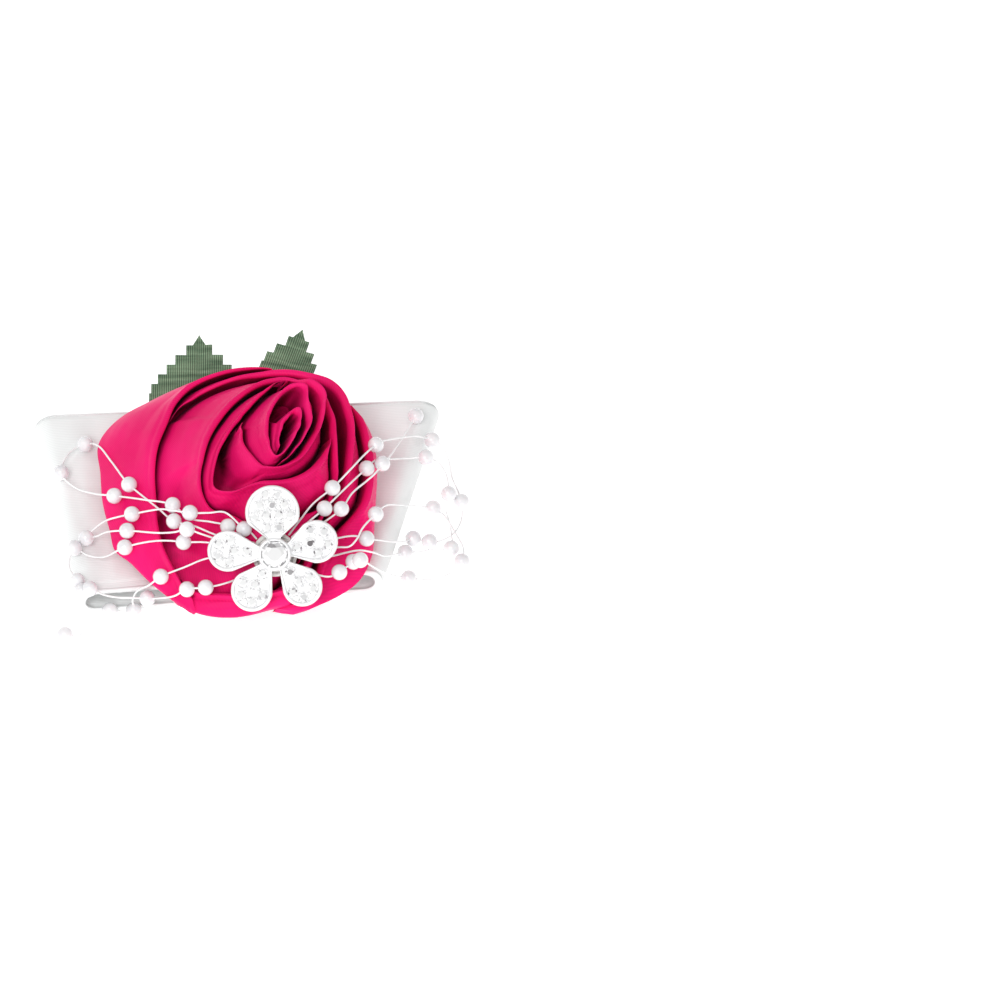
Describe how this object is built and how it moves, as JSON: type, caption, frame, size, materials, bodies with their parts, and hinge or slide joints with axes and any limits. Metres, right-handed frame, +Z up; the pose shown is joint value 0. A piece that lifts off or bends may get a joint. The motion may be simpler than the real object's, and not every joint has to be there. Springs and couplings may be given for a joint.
{
  "type": "wrist corsage",
  "caption": "Wrist corsage: folded satin rose with cloth leaves, looped pearl strands and a jewelled flower brooch, on a wide elastic satin wristband.",
  "frame": {"origin": "middle of the wristband's underside, where the corsage rests on a table", "axes": "+Z up off the table, through the rose; +Y through the loop where the hand goes, towards the leaves; -Y towards the brooch; +X to the right as seen from the brooch's side"},
  "size_m": [0.0999, 0.0831, 0.0342],
  "materials": {
    "ivory_satin": "soft satin sheen, elastic drawn, matt edges",
    "fuchsia_satin": "glossy polyester satin with fine ribs",
    "leaf_cloth": "dull coated cloth with fine ribs",
    "felt": "matt felt and thread",
    "pearl": "pearlescent, moulded on a clear-white filament",
    "bright_silver": "bright silver plating",
    "crystal": "clear faceted glass, foiled behind"
  },
  "bodies": {
    "root": {"wristband": "ivory_satin", "felt_backing": "felt", "leaf_left": "leaf_cloth", "leaf_right": "leaf_cloth", "rose_bud_roll": "fuchsia_satin", "brooch_setting": "bright_silver", "brooch_shank": "bright_silver", "centre_crystal": "crystal", "pearl_bundle_tie": "felt", "rose_petal_1": "fuchsia_satin", "rose_petal_2": "fuchsia_satin", "rose_petal_3": "fuchsia_satin", "rose_petal_4": "fuchsia_satin", "rose_petal_5": "fuchsia_satin", "rose_petal_6": "fuchsia_satin", "rose_petal_7": "fuchsia_satin", "rose_petal_8": "fuchsia_satin", "crystal_01": "crystal", "crystal_02": "crystal", "crystal_03": "crystal", "crystal_04": "crystal", "crystal_05": "crystal", "crystal_06": "crystal", "crystal_07": "crystal", "crystal_08": "crystal", "crystal_09": "crystal", "crystal_10": "crystal", "crystal_11": "crystal", "crystal_12": "crystal", "crystal_13": "crystal", "crystal_14": "crystal", "crystal_15": "crystal", "crystal_16": "crystal", "crystal_17": "crystal", "crystal_18": "crystal", "crystal_19": "crystal", "crystal_20": "crystal", "crystal_21": "crystal", "crystal_22": "crystal", "crystal_23": "crystal", "crystal_24": "crystal", "crystal_25": "crystal", "crystal_26": "crystal", "crystal_27": "crystal", "crystal_28": "crystal", "crystal_29": "crystal", "crystal_30": "crystal", "crystal_31": "crystal", "crystal_32": "crystal", "crystal_33": "crystal", "crystal_34": "crystal", "crystal_35": "crystal", "pearl_strand_left_back": "pearl", "pearl_strand_left_middle": "pearl", "pearl_strand_left_front": "pearl", "pearl_strand_tail": "pearl", "pearl_strand_right_back": "pearl", "pearl_strand_right_middle": "pearl", "pearl_strand_right_front": "pearl", "pearl_strand_right_open": "pearl"}
  },
  "joints": []
}
